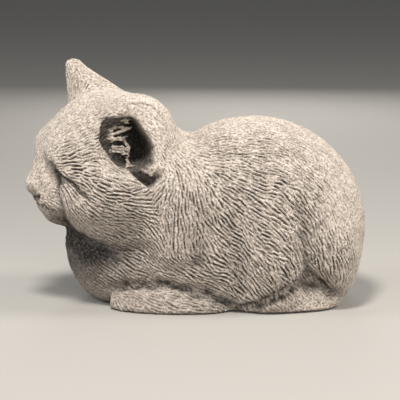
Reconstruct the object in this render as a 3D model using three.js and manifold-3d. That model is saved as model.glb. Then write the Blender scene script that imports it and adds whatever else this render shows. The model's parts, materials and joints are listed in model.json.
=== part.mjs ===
// Cat statue: a cat dozing on its folded paws, cast in one solid piece of stone, with a flat underside.
//
// Millimetres, +Z up. The cat looks towards -X with its head turned a little to its left, -Y.
// The origin is on the flat underside, on the cat's centre line, midway between nose and rump.
//
// The cat is one smooth body, written as a signed distance: negative inside the stone, zero on its skin.
// Rounded masses are blended together, hollows and creases are carved out, and the skin is then meshed.

import * as THREE from "three";
import { mergeVertices } from "three/addons/utils/BufferGeometryUtils.js";
import Module from "manifold-3d";

// Driving sizes of the whole cat.
const LENGTH = 297; // nose to rump
const BODY_WIDTH = 156; // across the ribs
const BACK_HEIGHT = 161; // floor to the top of the back
const HEAD_WIDTH = 127; // across the cheeks
const HEAD_HEIGHT = 122; // floor to the middle of the skull
const HEAD_TURN = 18; // degrees that the face turns to the cat's left

// Sizes of the carving.
const EYE_CREASE = 3; // radius of the tool that cut the closed eye
const NOSTRIL = 3.2;
const MOUTH_CREASE = 2.8;
const LEG_CREASE = 5; // radius of the tool that parted the legs from the belly

// How softly neighbouring masses run into each other.
const SOFT = 0.054 * LENGTH;
const FIRM = 0.024 * LENGTH;
const CRISP = 0.017 * LENGTH;

// Spacing of the mesh's steps: close on the face, wider on the head and widest on the plain back.
const FINE_STEP = LENGTH / 60;
const MEDIUM_STEP = LENGTH / 41;
const COARSE_STEP = LENGTH / 24;

const FRONT = -LENGTH / 2;
const SPARE = 0.024 * LENGTH; // stone left below the floor, for the flat cut

// Signed distances.

const ellipsoid = ([cx, cy, cz], [rx, ry, rz], turn = 0) => {
  const c = Math.cos(turn);
  const s = Math.sin(turn);
  return (x, y, z) => {
    const dx = c * (x - cx) + s * (y - cy);
    const dy = c * (y - cy) - s * (x - cx);
    const dz = z - cz;
    const near = Math.hypot(dx / rx, dy / ry, dz / rz);
    const slope = Math.hypot(dx / rx ** 2, dy / ry ** 2, dz / rz ** 2);
    return slope > 1e-9 ? (near * (near - 1)) / slope : -Math.min(rx, ry, rz);
  };
};

// A rod with round ends from a to b, whose radius runs evenly from one end to the other.
const rod = (a, b, startRadius, endRadius) => {
  const [dx, dy, dz] = [b[0] - a[0], b[1] - a[1], b[2] - a[2]];
  const lengthSquared = dx * dx + dy * dy + dz * dz;
  return (x, y, z) => {
    const along = ((x - a[0]) * dx + (y - a[1]) * dy + (z - a[2]) * dz) / lengthSquared;
    const t = Math.min(1, Math.max(0, along));
    const radius = startRadius + (endRadius - startRadius) * t;
    return Math.hypot(x - a[0] - t * dx, y - a[1] - t * dy, z - a[2] - t * dz) - radius;
  };
};

// A tool stroke: a groove or ridge that follows a curve through the points and tapers to both ends.
const stroke = (points, radius, steps = 12) => {
  const curve = new THREE.CatmullRomCurve3(points.map((p) => new THREE.Vector3(...p)));
  const width = (t) => radius * (0.35 + 0.65 * Math.sin(Math.PI * t));
  const rods = [];
  for (let i = 0; i < steps; i++) {
    const from = curve.getPoint(i / steps).toArray();
    const to = curve.getPoint((i + 1) / steps).toArray();
    rods.push(rod(from, to, width(i / steps), width((i + 1) / steps)));
  }
  const box = new THREE.Box3().setFromPoints(curve.getPoints(steps));
  const { center, radius: reach } = box.getBoundingSphere(new THREE.Sphere());
  return (x, y, z) => {
    const away = Math.hypot(x - center.x, y - center.y, z - center.z) - reach;
    return away > 2 * SOFT ? away : Math.min(...rods.map((part) => part(x, y, z)));
  };
};

const blend = (a, b, softness) => {
  const near = Math.max(softness - Math.abs(a - b), 0) / softness;
  return Math.min(a, b) - (near * near * softness) / 4;
};

const carve = (solid, tool, softness) => -blend(-solid, tool, softness);

// The body's places are hundredths of the length, the width and the height of the back, and the head's are
// hundredths of the head's width.

const onBody = (x, y, z) => [(x * LENGTH) / 100, (y * BODY_WIDTH) / 100, (z * BACK_HEIGHT) / 100];
const onHead = (u, v, w) => [u, v, w].map((place) => (place * HEAD_WIDTH) / 100);
const alongBody = (...points) => points.map((point) => onBody(...point));
const alongHead = (...points) => points.map((point) => onHead(...point));
const bodySize = (share) => (share * LENGTH) / 100;
const headSize = (share) => (share * HEAD_WIDTH) / 100;

// The body, made once for the left side and mirrored.

const widest = 0.167 * LENGTH; // how far back the trunk is widest and highest
const middle = 0.398 * BACK_HEIGHT;
const trunk = ellipsoid([widest, 0, middle], [LENGTH / 2 - widest, BODY_WIDTH / 2, BACK_HEIGHT - middle]);
const chest = ellipsoid(onBody(-20.9, 0, 31.7), onBody(17.8, 34.6, 37.3));
const nape = rod(onBody(-18.9, 23.1, 71.4), onBody(-4, 23.1, 58.4), bodySize(10.8), bodySize(11.1));
const shoulder = ellipsoid(onBody(-4.7, 26.9, 44.7), onBody(11.8, 21.2, 38.5));
const thigh = ellipsoid(onBody(20.2, 28.2, 29.8), onBody(13.5, 23.7, 38.5), -0.1);
const hip = ellipsoid(onBody(37.7, 16.7, 31.1), onBody(10.4, 26.9, 31.1));
const hindFoot = ellipsoid(onBody(28.6, 29.5, 2.5), onBody(13.1, 12.2, 13.7), -0.2);
const foreLeg = ellipsoid(onBody(-7.4, 32.1, 3.1), onBody(17.8, 13.5, 12.4), 0.1);
const tail = stroke(
  alongBody([37.7, 3.8, 8.7], [41.8, 21.8, 8.1], [35, 39.7, 7.5], [21.5, 48.7, 6.8], [6.7, 50, 5.6]),
  bodySize(4),
);

const flankValley = stroke(
  alongBody([9.4, 55.1, 77], [9.8, 54.5, 55.9], [11.1, 53.8, 31.1], [14.1, 53.8, 5]),
  bodySize(3.7),
);
const elbowValley = stroke(
  alongBody([-2, 56.4, 75.8], [0.3, 54.5, 57.1], [1.7, 53.2, 38.5], [0.7, 52.6, 22.4]),
  bodySize(3),
);
const hipValley = stroke(
  alongBody([27.6, 55.1, 68.3], [30.3, 52.6, 50.9], [31.6, 51.3, 34.8], [32.7, 47.4, 19.9]),
  1.3 * LEG_CREASE,
);
const hockHollow = ellipsoid(onBody(34, 42.3, 15.5), onBody(3.4, 5.8, 5));
const kneeCrease = stroke(
  alongBody([10.1, 55.1, -1.2], [18.2, 53.8, 6.2], [25.6, 51.3, 13.7], [33.7, 46.2, 18.6]),
  1.3 * LEG_CREASE,
);
const wristCrease = stroke(
  alongBody([-27.6, 34.6, 13.7], [-18.9, 42.3, 19.9], [-6.7, 48.7, 20.5], [4, 52.6, 16.1], [13.5, 56.4, 2.5]),
  1.5 * LEG_CREASE,
);

const body = (x, signedY, z) => {
  const y = Math.abs(signedY);
  let d = blend(trunk(x, y, z), chest(x, y, z), SOFT);
  d = blend(d, nape(x, y, z), SOFT);
  d = blend(d, shoulder(x, y, z), SOFT);
  d = blend(d, thigh(x, y, z), FIRM);
  d = blend(d, hip(x, y, z), FIRM);
  d = carve(d, flankValley(x, y, z), SOFT);
  d = carve(d, elbowValley(x, y, z), SOFT);
  d = carve(d, hipValley(x, y, z), FIRM);
  d = carve(d, hockHollow(x, y, z), FIRM);
  d = carve(d, kneeCrease(x, y, z), FIRM);
  d = carve(d, wristCrease(x, y, z), FIRM);
  d = blend(d, hindFoot(x, y, z), FIRM);
  d = blend(d, foreLeg(x, y, z), FIRM);
  return blend(d, tail(x, signedY, z), FIRM);
};

// The head, in a frame of its own: u towards the nose, v to the cat's left, w up, from the middle of the skull.

const headCentre = new THREE.Vector3(FRONT + headSize(56.3), -headSize(4.7), HEAD_HEIGHT);
const headAxes = new THREE.Matrix4().makeRotationZ(THREE.MathUtils.degToRad(HEAD_TURN + 180));
const fromHead = headAxes.clone().setPosition(headCentre);
const toHead = fromHead.clone().invert();

const skull = ellipsoid(onHead(-2.4, 0, 0.8), onHead(48.8, 47.6, 48));
const jowl = ellipsoid(onHead(8.7, 20.5, -19.7), onHead(30.7, 28.7, 25.2));
const midFace = ellipsoid(onHead(29.9, 0, -7.9), onHead(19.7, 22, 22));
const muzzle = ellipsoid(onHead(36.2, 0, -21.3), onHead(15, 17.3, 15));
const whiskerPad = ellipsoid(onHead(41.7, 7.1, -23.6), onHead(9.4, 8.7, 7.9));
const bridge = rod(onHead(36.2, 0, 7.9), onHead(48, 0, -10.2), headSize(10.2), headSize(7.1));
const noseTip = ellipsoid(onHead(52.4, 0, -14.2), onHead(5.5, 6.3, 5.5));
const chin = ellipsoid(onHead(33.1, 0, -34.6), onHead(11, 11, 7.1));
const brow = ellipsoid(onHead(33.9, 16.5, 11.8), onHead(11, 11.8, 9.4));
const eyelid = ellipsoid(onHead(31.5, 22, -4.7), onHead(11, 11.8, 9.4));
const eyeSlit = stroke(alongHead([45.7, 12.6, 5.5], [44.1, 15.7, -2.4], [41.7, 18.9, -9.4]), EYE_CREASE);
const lidCrease = stroke(
  alongHead([41.7, 19.7, -7.9], [39.4, 28.3, -8.7], [33.9, 36.2, -11.8], [23.6, 42.5, -19.7]),
  EYE_CREASE,
);
const muzzleValley = stroke(
  alongHead([44.1, 21.3, -10.2], [43.3, 22.8, -18.9], [41.7, 23.6, -28.3], [37.8, 22, -37.8]),
  EYE_CREASE,
);
const nostril = ellipsoid(onHead(55.1, 5.5, -19.7), [1.25 * NOSTRIL, 1.1 * NOSTRIL, NOSTRIL]);
const mouthCrease = stroke(
  alongHead([53.5, -1.6, -24.4], [50.4, 8.7, -29.9], [44.1, 15.7, -35.4]),
  MOUTH_CREASE,
);

const farEar = rod(onHead(-4.7, -26.8, 31.5), onHead(14.2, -36.2, 63), headSize(21.3), headSize(4.7));
const farEarEdge = rod(onHead(11, -29.9, 28.3), onHead(14.2, -36.2, 63), headSize(9.4), headSize(4.7));
const farEarHollow = rod(onHead(15.7, -50.4, 26.8), onHead(18.9, -42.5, 58.3), headSize(15), headSize(1.6));
const nearEar = ellipsoid(onHead(-11.8, 31.5, 20.5), onHead(26.8, 19.7, 29.1));
const nearEarHollow = ellipsoid(onHead(1.2, 48, 17.3), onHead(19.7, 15.7, 20.1));
const nearEarDepth = ellipsoid(onHead(-7.1, 44.1, 16.5), onHead(10.2, 25.2, 15.7));
const nearEarNotch = rod(onHead(-9.4, 46.5, 4.7), onHead(-16.5, 48.8, -8.7), headSize(6.3), headSize(3.1));

const face = (u, v, w) => {
  const side = Math.abs(v);
  let d = blend(skull(u, v, w), jowl(u, side, w), SOFT);
  d = blend(d, midFace(u, v, w), SOFT);
  d = blend(d, muzzle(u, v, w), FIRM);
  d = blend(d, bridge(u, v, w), FIRM);
  d = blend(d, brow(u, side, w), SOFT);
  d = blend(d, eyelid(u, side, w), FIRM);
  d = blend(d, chin(u, v, w), FIRM);
  d = blend(d, whiskerPad(u, side, w), CRISP);
  d = blend(d, noseTip(u, v, w), FIRM);
  d = carve(d, muzzleValley(u, side, w), FIRM);
  d = carve(d, eyeSlit(u, side, w), FIRM);
  d = carve(d, lidCrease(u, side, w), FIRM);
  d = carve(d, nostril(u, side, w), CRISP);
  return carve(d, mouthCrease(u, side, w), CRISP);
};

const ears = (d, u, v, w) => {
  let stone = blend(d, farEar(u, v, w), FIRM);
  stone = blend(stone, farEarEdge(u, v, w), FIRM);
  stone = blend(stone, nearEar(u, v, w), SOFT);
  stone = carve(stone, farEarHollow(u, v, w), CRISP);
  stone = carve(stone, nearEarHollow(u, v, w), FIRM);
  stone = carve(stone, nearEarDepth(u, v, w), FIRM);
  return carve(stone, nearEarNotch(u, v, w), CRISP);
};

const neck = rod(onBody(-19.5, -3.2, 64.6), onBody(0.7, 0, 44.7), bodySize(17.8), bodySize(18.2));

const cat = (x, y, z) => {
  const m = toHead.elements;
  const u = m[0] * x + m[4] * y + m[8] * z + m[12];
  const v = m[1] * x + m[5] * y + m[9] * z + m[13];
  const w = m[2] * x + m[6] * y + m[10] * z + m[14];
  const torso = blend(body(x, y, z), neck(x, y, z), SOFT);
  const whole = ears(blend(torso, face(u, v, w), SOFT), u, v, w);
  return Math.max(whole, -SPARE - z);
};

// The skin is meshed on a grid: each sheet of it that passes through a cell has one vertex there,
// and each grid edge that it crosses has one face, between the cells round that edge.

const ticks = (stops) => {
  const found = [stops[0][0]];
  stops.slice(1).forEach(([end, step], i) => {
    const start = stops[i][0];
    const count = Math.ceil((end - start) / step);
    for (let n = 1; n <= count; n++) found.push(start + ((end - start) * n) / count);
  });
  return found;
};

// A cell's twelve edges, each an axis and its place across it, and the four edges round each of its six faces.
const CELL_EDGES = [0, 1, 2].flatMap((axis) => [0, 1, 2, 3].map((n) => ({ axis, low: n & 1, high: n >> 1 })));
const edgeNumber = (axis, low, high) => 4 * axis + low + 2 * high;
const edgeEnds = ({ axis, low, high }) =>
  [0, 1].map((along) => {
    const corner = [low, high];
    corner.splice(axis, 0, along);
    return corner;
  });
const edgesOfFace = (axis, side) =>
  CELL_EDGES.flatMap((edge, n) => (edgeEnds(edge).every((corner) => corner[axis] === side) ? [n] : []));
const CELL_FACES = [0, 1, 2].flatMap((axis) => [0, 1].map((side) => edgesOfFace(axis, side)));

const skin = (field, xs, ys, zs) => {
  const lines = [xs, ys, zs];
  const [nx, ny, nz] = lines.map((line) => line.length);
  const at = (i, j, k) => i + nx * (j + ny * k);
  const values = new Float64Array(nx * ny * nz);
  zs.forEach((z, k) => ys.forEach((y, j) => xs.forEach((x, i) => (values[at(i, j, k)] = field(x, y, z)))));

  // Slides a point onto the skin, down the field's own slope.
  const settle = (point, cell) => {
    const h = 0.05;
    let p = point;
    for (let pass = 0; pass < 4; pass++) {
      const d = field(...p);
      const slope = p.map((value, n) => (field(...p.with(n, value + h)) - d) / h);
      const steep = slope.reduce((sum, s) => sum + s * s, 0.2);
      p = p.map((value, n) => {
        const [low, high] = [lines[n][cell[n]], lines[n][cell[n] + 1]];
        return THREE.MathUtils.clamp(value - (0.9 * d * slope[n]) / steep, low, high);
      });
    }
    return p;
  };

  const positions = [];
  const vertexOf = new Map();
  const meshCell = (i, j, k) => {
    const valueAt = ([a, b, c]) => values[at(i + a, j + b, k + c)];
    const ends = CELL_EDGES.map((edge) => edgeEnds(edge));
    const crossed = ends.map(([a, b]) => valueAt(a) < 0 !== valueAt(b) < 0);
    if (!crossed.includes(true)) return;
    const sheet = ends.map((_, n) => n);
    const merge = (a, b) => {
      const [to, from] = [sheet[a], sheet[b]];
      sheet.forEach((s, n) => (sheet[n] = s === from ? to : s));
    };
    for (const face of CELL_FACES) {
      const cut = face.filter((n) => crossed[n]);
      if (cut.length === 2) merge(...cut);
      if (cut.length < 4) continue;
      const corners = cut.flatMap((n) => ends[n]).filter((c) => valueAt(c) < 0);
      for (const c of corners) merge(...cut.filter((n) => ends[n].some((e) => String(e) === String(c))));
    }
    for (const one of new Set(sheet.filter((_, n) => crossed[n]))) {
      const members = sheet.flatMap((s, n) => (s === one && crossed[n] ? [n] : []));
      const middle = [0, 0, 0];
      for (const n of members) {
        const [a, b] = ends[n];
        const t = valueAt(a) / (valueAt(a) - valueAt(b));
        lines.forEach((line, m) => {
          const base = [i, j, k][m];
          middle[m] += (line[base + a[m]] * (1 - t) + line[base + b[m]] * t) / members.length;
        });
        vertexOf.set(12 * at(i, j, k) + n, positions.length / 3);
      }
      positions.push(...settle(middle, [i, j, k]));
    }
  };
  for (let k = 0; k < nz - 1; k++) {
    for (let j = 0; j < ny - 1; j++) {
      for (let i = 0; i < nx - 1; i++) meshCell(i, j, k);
    }
  }

  const index = [];
  const splits = new Set();
  const far = (a, b) => Math.hypot(...[0, 1, 2].map((n) => positions[3 * a + n] - positions[3 * b + n]));
  const addFace = (axis, i, j, k) => {
    const place = [i, j, k];
    const here = values[at(i, j, k)] < 0;
    const next = place.with(axis, place[axis] + 1);
    if (here === values[at(...next)] < 0) return;
    const [p, q] = [(axis + 1) % 3, (axis + 2) % 3];
    const round = [[1, 1], [0, 1], [0, 0], [1, 0]].map(([backP, backQ]) => {
      const cell = [...place];
      cell[p] -= backP;
      cell[q] -= backQ;
      const [low, high] = p < q ? [backP, backQ] : [backQ, backP];
      return vertexOf.get(12 * at(...cell) + edgeNumber(axis, low, high));
    });
    if (!here) round.reverse();
    const [a, b, c, d] = round;
    // The shorter diagonal splits the face, unless a neighbour's face already has it.
    const name = (from, to) => Math.min(from, to) + "-" + Math.max(from, to);
    const first = splits.has(name(b, d)) || (far(a, c) < far(b, d) && !splits.has(name(a, c)));
    splits.add(first ? name(a, c) : name(b, d));
    if (first) index.push(a, b, c, a, c, d);
    else index.push(b, c, d, b, d, a);
  };
  for (let k = 1; k < nz - 1; k++) {
    for (let j = 1; j < ny - 1; j++) {
      for (let i = 1; i < nx - 1; i++) [0, 1, 2].forEach((axis) => addFace(axis, i, j, k));
    }
  }

  const geometry = new THREE.BufferGeometry();
  geometry.setAttribute("position", new THREE.Float32BufferAttribute(positions, 3));
  geometry.setIndex(index);
  return geometry;
};

const margin = 2 * SPARE;
const side = BODY_WIDTH / 2 + margin;
const faceBack = headCentre.x - headSize(18);
const headBack = headCentre.x + headSize(43);
const faceSide = headSize(46);
const jaw = HEAD_HEIGHT - headSize(47);
const browLine = HEAD_HEIGHT + headSize(9);
const earTop = HEAD_HEIGHT + headSize(74) + margin / 2;

const xs = ticks([
  [FRONT - margin, 0],
  [faceBack, FINE_STEP],
  [headBack, MEDIUM_STEP],
  [LENGTH / 2 + margin, COARSE_STEP],
]);
const ys = ticks([
  [-side, 0],
  [-faceSide, MEDIUM_STEP],
  [-headSize(11), FINE_STEP],
  [faceSide, MEDIUM_STEP],
  [side, COARSE_STEP],
]);
const zs = ticks([
  [-SPARE - 2 * MEDIUM_STEP, 0],
  [jaw, MEDIUM_STEP],
  [browLine, FINE_STEP],
  [earTop, MEDIUM_STEP],
]);
const rough = skin(cat, xs, ys, zs);

// The underside is cut off flat.

const wasm = await Module();
wasm.setup();

const toSolid = (geometry) =>
  new wasm.Manifold(
    new wasm.Mesh({
      numProp: 3,
      vertProperties: new Float32Array(geometry.getAttribute("position").array),
      triVerts: new Uint32Array(geometry.index.array),
    }),
  );

const toGeometry = (solid) => {
  const { vertProperties, triVerts, numProp } = solid.getMesh();
  const geometry = new THREE.BufferGeometry();
  const stride = new THREE.InterleavedBuffer(vertProperties, numProp);
  geometry.setAttribute("position", new THREE.InterleavedBufferAttribute(stride, 3, 0));
  geometry.setIndex(new THREE.BufferAttribute(triVerts, 1));
  return geometry.toNonIndexed();
};

const ground = new THREE.BoxGeometry(2 * LENGTH, 2 * LENGTH, LENGTH).translate(0, 0, -LENGTH / 2);
ground.deleteAttribute("normal");
ground.deleteAttribute("uv");
const statue = toSolid(rough).subtract(toSolid(mergeVertices(ground)));

const castStone = new THREE.MeshStandardMaterial({ color: 0xb9aa9b, roughness: 0.95, metalness: 0 });
const group = new THREE.Group();
const mesh = new THREE.Mesh(toGeometry(statue), castStone);
mesh.name = "cat";
group.add(mesh);

export default group;
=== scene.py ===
# %% [markdown]
# # A sleeping stone cat
# A garden statue of a cat that dozes on its folded paws. The real one is a single casting: a sculptor
# modelled the cat and combed its coat in clay, a mould was taken, and cast stone was poured into it. So
# there is one piece here too, shaped in the same order: the smooth cat, its folds, the ear, the creases of
# the face, and last the coat.
#
# The frame holds the CAD model of the cat, a plain solid. It gives the true size, and the finished piece
# stands for it.

# %% Load the frame
import json
import math

import bpy
import numpy as np
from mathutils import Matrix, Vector

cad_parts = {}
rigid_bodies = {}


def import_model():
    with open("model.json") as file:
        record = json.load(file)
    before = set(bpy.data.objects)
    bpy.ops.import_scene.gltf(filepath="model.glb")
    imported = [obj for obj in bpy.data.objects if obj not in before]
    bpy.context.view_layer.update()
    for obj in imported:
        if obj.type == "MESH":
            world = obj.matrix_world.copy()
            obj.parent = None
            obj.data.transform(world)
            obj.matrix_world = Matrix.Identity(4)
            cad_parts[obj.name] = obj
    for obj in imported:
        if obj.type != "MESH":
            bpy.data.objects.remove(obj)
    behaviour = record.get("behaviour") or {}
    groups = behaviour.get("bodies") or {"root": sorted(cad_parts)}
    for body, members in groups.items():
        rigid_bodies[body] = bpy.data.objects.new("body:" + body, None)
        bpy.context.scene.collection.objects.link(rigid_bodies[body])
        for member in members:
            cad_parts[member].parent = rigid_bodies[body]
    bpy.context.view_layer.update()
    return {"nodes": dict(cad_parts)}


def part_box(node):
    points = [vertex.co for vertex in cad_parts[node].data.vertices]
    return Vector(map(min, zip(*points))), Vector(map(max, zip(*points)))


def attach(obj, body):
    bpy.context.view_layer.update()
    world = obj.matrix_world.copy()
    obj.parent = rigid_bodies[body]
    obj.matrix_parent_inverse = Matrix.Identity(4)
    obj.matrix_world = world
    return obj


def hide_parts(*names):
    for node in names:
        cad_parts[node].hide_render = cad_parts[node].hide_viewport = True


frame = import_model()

MM = 0.001
low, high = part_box("cat")
LENGTH = high.x - low.x
print("the cat measures", [round((b - a) / MM, 1) for a, b in zip(low, high)], "mm")

# %% [markdown]
# ## Camera
# The photograph was taken from the cat's left, a little above it. A camera far away flattens a shape and a
# near one bends it, so the camera's distance is fixed first, and then the lens that fills the frame as there.

# %% Camera
PHOTO_DISTANCE = 1.5  # metres from the camera to the cat
PHOTO_WIDTH = 0.351  # metres that the frame spans at the cat
PHOTO_ELEVATION = math.radians(10)
PHOTO_TARGET = Vector((0.0035, 0, 0.0866))
SENSOR = 36

scene = bpy.context.scene
camera = bpy.data.objects.new("camera", bpy.data.cameras.new("camera"))
scene.collection.objects.link(camera)
camera.data.sensor_width = SENSOR
camera.data.lens = SENSOR * PHOTO_DISTANCE / PHOTO_WIDTH
towards_camera = Vector((0, -math.cos(PHOTO_ELEVATION), math.sin(PHOTO_ELEVATION)))
camera.location = PHOTO_TARGET + PHOTO_DISTANCE * towards_camera
camera.rotation_euler = towards_camera.to_track_quat("Z", "Y").to_euler()
scene.camera = camera
scene.view_settings.view_transform = "Standard"
print("camera lens", round(camera.data.lens, 1), "mm")

# %% [markdown]
# ## Floor and light
# Carving shows by its shadows, so the strongest lamp stands above the viewer, to one side. Lamps that are
# large give soft shadows, and weaker ones stand all round so that no side is black. A world colour alone
# would light every groove and wash the coat out.

# %% Floor
FLOOR_WIDTH = 16

bpy.ops.object.select_all(action="DESELECT")
bpy.ops.mesh.primitive_plane_add(size=FLOOR_WIDTH)
floor = bpy.context.object
floor.name = "floor"
print("floor", FLOOR_WIDTH, "m wide")

# %% Lamps
# name, place, width, power, colour
LAMPS = [
    ("above", (-0.15, -0.6, 1.3), 0.3, 20, (1, 0.97, 0.93)),
    ("front", (0.4, -1.5, 0.45), 0.6, 10, (1, 0.98, 0.95)),
    ("right", (1.2, -0.1, 0.9), 0.5, 14, (1, 0.98, 0.95)),
    ("left", (-1.3, -0.2, 0.8), 0.5, 9, (0.97, 0.98, 1)),
    ("back", (0.1, 1.5, 0.6), 0.6, 6, (1, 0.98, 0.95)),
]

for name, place, width, power, colour in LAMPS:
    lamp = bpy.data.objects.new(name, bpy.data.lights.new(name, "AREA"))
    scene.collection.objects.link(lamp)
    lamp.data.shape = "DISK"
    lamp.data.size = width
    lamp.data.energy = power
    lamp.data.color = colour
    lamp.location = place
    lamp.rotation_euler = (Vector(place) - PHOTO_TARGET).to_track_quat("Z", "Y").to_euler()
print("lamps:", len(LAMPS))

# %% Light from all round
SKY_COLOUR = (0.93, 0.96, 1, 1)
SKY_STRENGTH = 0.18

scene.world = bpy.data.worlds.new("studio")
scene.world.use_nodes = True
sky = scene.world.node_tree.nodes["Background"]
sky.inputs["Color"].default_value = SKY_COLOUR
sky.inputs["Strength"].default_value = SKY_STRENGTH
print("strength of the light from all round:", SKY_STRENGTH)

# %% [markdown]
# ## The smooth cat
# The CAD solid is a skin of flat facets. It could be sculpted as it is, but its long triangles would crease.
# So a copy is merged into one closed skin, rounded with Subdivision Surface, and remeshed into small
# even faces, like a fresh layer of clay on an armature.


# %% Modifiers and edit mode
def apply(piece, kind, **settings):
    """Adds one modifier, with these settings, and applies it."""
    modifier = piece.modifiers.new(kind.title(), kind)
    for name, value in settings.items():
        setattr(modifier, name, value)
    with bpy.context.temp_override(object=piece, active_object=piece):
        bpy.ops.object.modifier_apply(modifier=modifier.name)


def select(piece):
    """Selects this piece and nothing else."""
    bpy.ops.object.select_all(action="DESELECT")
    piece.select_set(True)
    bpy.context.view_layer.objects.active = piece


def edit_all(piece, operator, **settings):
    """Runs one edit-mode operator on the whole of a piece."""
    select(piece)
    bpy.ops.object.mode_set(mode="EDIT")
    bpy.ops.mesh.select_all(action="SELECT")
    operator(**settings)
    bpy.ops.object.mode_set(mode="OBJECT")


# %% Copy, round and remesh
ROUGH_CLAY = 1.1 * MM
FINE_CLAY = 0.75 * MM
SAME_POINT = 0.01 * MM

cat = bpy.data.objects.new("stone_cat", frame["nodes"]["cat"].data.copy())
scene.collection.objects.link(cat)
cat.data.materials.clear()
edit_all(cat, bpy.ops.mesh.remove_doubles, threshold=SAME_POINT)
apply(cat, "SUBSURF", levels=2, render_levels=2)
apply(cat, "REMESH", mode="VOXEL", voxel_size=ROUGH_CLAY)
print("clay skin:", len(cat.data.vertices), "points")

# %% [markdown]
# ## Moving many points at once
# A sculpt brush needs a window and a hand. A script can do the same by reading all the points of the skin
# into an array, moving them together by a rule, and writing them back. Soft random values keep such a rule
# from looking like a machine's.


# %% Read and write the skin
def read(values, name, width):
    """One property of all the vertices, as a row of numbers for each."""
    numbers = np.empty(len(values) * width, np.float32)
    values.foreach_get(name, numbers)
    return numbers.reshape(-1, width).astype(float)


def points_of(piece):
    return read(piece.data.vertices, "co", 3)


def normals_of(piece):
    return read(piece.data.vertex_normals, "vector", 3)


def set_points(piece, points):
    piece.data.vertices.foreach_set("co", points.astype(np.float32).ravel())
    piece.data.update()


print("lowest point of the skin", round(float(points_of(cat)[:, 2].min()) / MM, 2), "mm")


# %% Gentle steps and soft random values
def smoothstep(start, end, value):
    """Rises gently from 0 at the start to 1 at the end."""
    t = np.clip((value - start) / (end - start), 0, 1)
    return t * t * (3 - 2 * t)


def cloud(points, grain, seed):
    """Soft random values from -1 to 1 that change over about one grain, the same on every run."""
    dice = np.random.default_rng(seed)
    spots = points / grain
    spots = spots - spots.min(0) + 1
    cell = spots.astype(int)
    t = smoothstep(0, 1, spots - cell)
    grid = dice.uniform(-1, 1, cell.max(0) + 2)
    total = 0
    for corner in np.ndindex(2, 2, 2):
        share = np.prod(np.where(corner, t, 1 - t), axis=1)
        total = total + share * grid[tuple((cell + corner).T)]
    return total


print("a quarter of the way along, a gentle step is", smoothstep(0, 1, 0.25), "high")

# %% [markdown]
# ## Places on the cat
# A place is given in hundredths of the cat's length, so that the carving grows with the cat. The head is
# turned to the cat's left, and has axes of its own: towards the nose, to the left and up.

# %% Body and head places
SHARE = LENGTH / 100
HEAD_CENTRE = np.array([-26, -2, 41.2])
HEAD_TURN = math.radians(18)
FACE = np.array([-math.cos(HEAD_TURN), -math.sin(HEAD_TURN), 0])
HEAD_SIDE = np.array([math.sin(HEAD_TURN), -math.cos(HEAD_TURN), 0])
HEAD_AXES = np.array([FACE, HEAD_SIDE, [0, 0, 1]])


def on_body(places, side=1):
    """Places on the body, from the origin: back, left and up. Side -1 is the same place on the right."""
    return np.array(places) * [1, -side, 1] * SHARE


def on_head(places, side=1):
    """Places on the head, from the middle of the skull: towards the nose, to its left and up."""
    return (HEAD_CENTRE + np.array(places) * [1, side, 1] @ HEAD_AXES) * SHARE


def head_places(points):
    """The reverse of on_head: points as places on the head."""
    return (points / SHARE - HEAD_CENTRE) @ HEAD_AXES.T


print("middle of the skull", (on_head([0, 0, 0]) / MM).round(1), "mm")

# %% [markdown]
# ## A line drawn on the skin
# Folds, creases and painted shade are all lines that follow the skin. Each has a width in millimetres, and at
# each of its places an amount. The line is rounded, laid on the skin, and what it gives fades to both sides
# as a bell does. Where the amount is a depth, the skin sinks under the line as clay does under a tool.

# %% Lines on the skin
LINE_REACH = 2.6  # widths at which a line's effect has faded
SKIN_REACH = 12 * MM  # a line drawn further than this from the skin would miss it
TINY = 1e-12  # keeps a division from meeting zero


def smooth_line(places, steps=5):
    """A rounded line through places, by the Catmull-Rom rule. Extra columns are carried along."""
    p = np.vstack([2 * places[0] - places[1], places, 2 * places[-1] - places[-2]])
    t = np.arange(steps)[:, None] / steps
    runs = []
    for a, b, c, d in zip(p, p[1:], p[2:], p[3:]):
        cubic = (3 * b - a - 3 * c + d) * t**3
        runs.append((2 * b + (c - a) * t + (2 * a - 5 * b + 4 * c - d) * t**2 + cubic) / 2)
    return np.vstack(runs + [places[-1:]])


def within(points, line, reach):
    """The numbers of the points in the box round a line."""
    return np.flatnonzero(((points > line.min(0) - reach) & (points < line.max(0) + reach)).all(1))


def laid_on(points, line):
    """The same line, laid on the skin."""
    here = points[within(points, line, SKIN_REACH)]
    return np.array([here[((here - place) ** 2).sum(1).argmin()] for place in line])


print("a line through 4 places is rounded to", len(smooth_line(np.zeros((4, 3)))), "points")


# %% Draw and carve
def along_line(points, line, amounts, width):
    """What a line of this width gives each point."""
    line = laid_on(points, line)
    near = within(points, line, LINE_REACH * width)
    here = points[near]
    result = np.zeros(len(points))
    for a, b, start, end in zip(line, line[1:], amounts, amounts[1:]):
        run = b - a
        t = np.clip((here - a) @ run / max(run @ run, TINY), 0, 1)
        away = ((here - a - t[:, None] * run) ** 2).sum(1)
        amount = (start + (end - start) * t) * np.exp(-away / width**2)
        result[near] = np.where(np.abs(amount) > np.abs(result[near]), amount, result[near])
    return result


def drawn(points, strokes, place, sides=(1, -1)):
    """What all the strokes give each point, added up. Most are drawn on both sides of the cat."""
    total = np.zeros(len(points))
    for _, width, steps in strokes:
        rows = smooth_line(np.array(steps, float))
        for side in sides:
            total += along_line(points, place(rows[:, :3], side), rows[:, 3], width * MM)
    return total


def carve(piece, strokes, place, sides=(1, -1)):
    """Cuts the strokes into the skin. Their amounts are depths in mm, and a depth below 0 is a ridge."""
    points = points_of(piece)
    depths = drawn(points, strokes, place, sides) * MM
    set_points(piece, points - normals_of(piece) * depths[:, None])
    print("carved", ", ".join(name for name, *_ in strokes))


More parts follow.
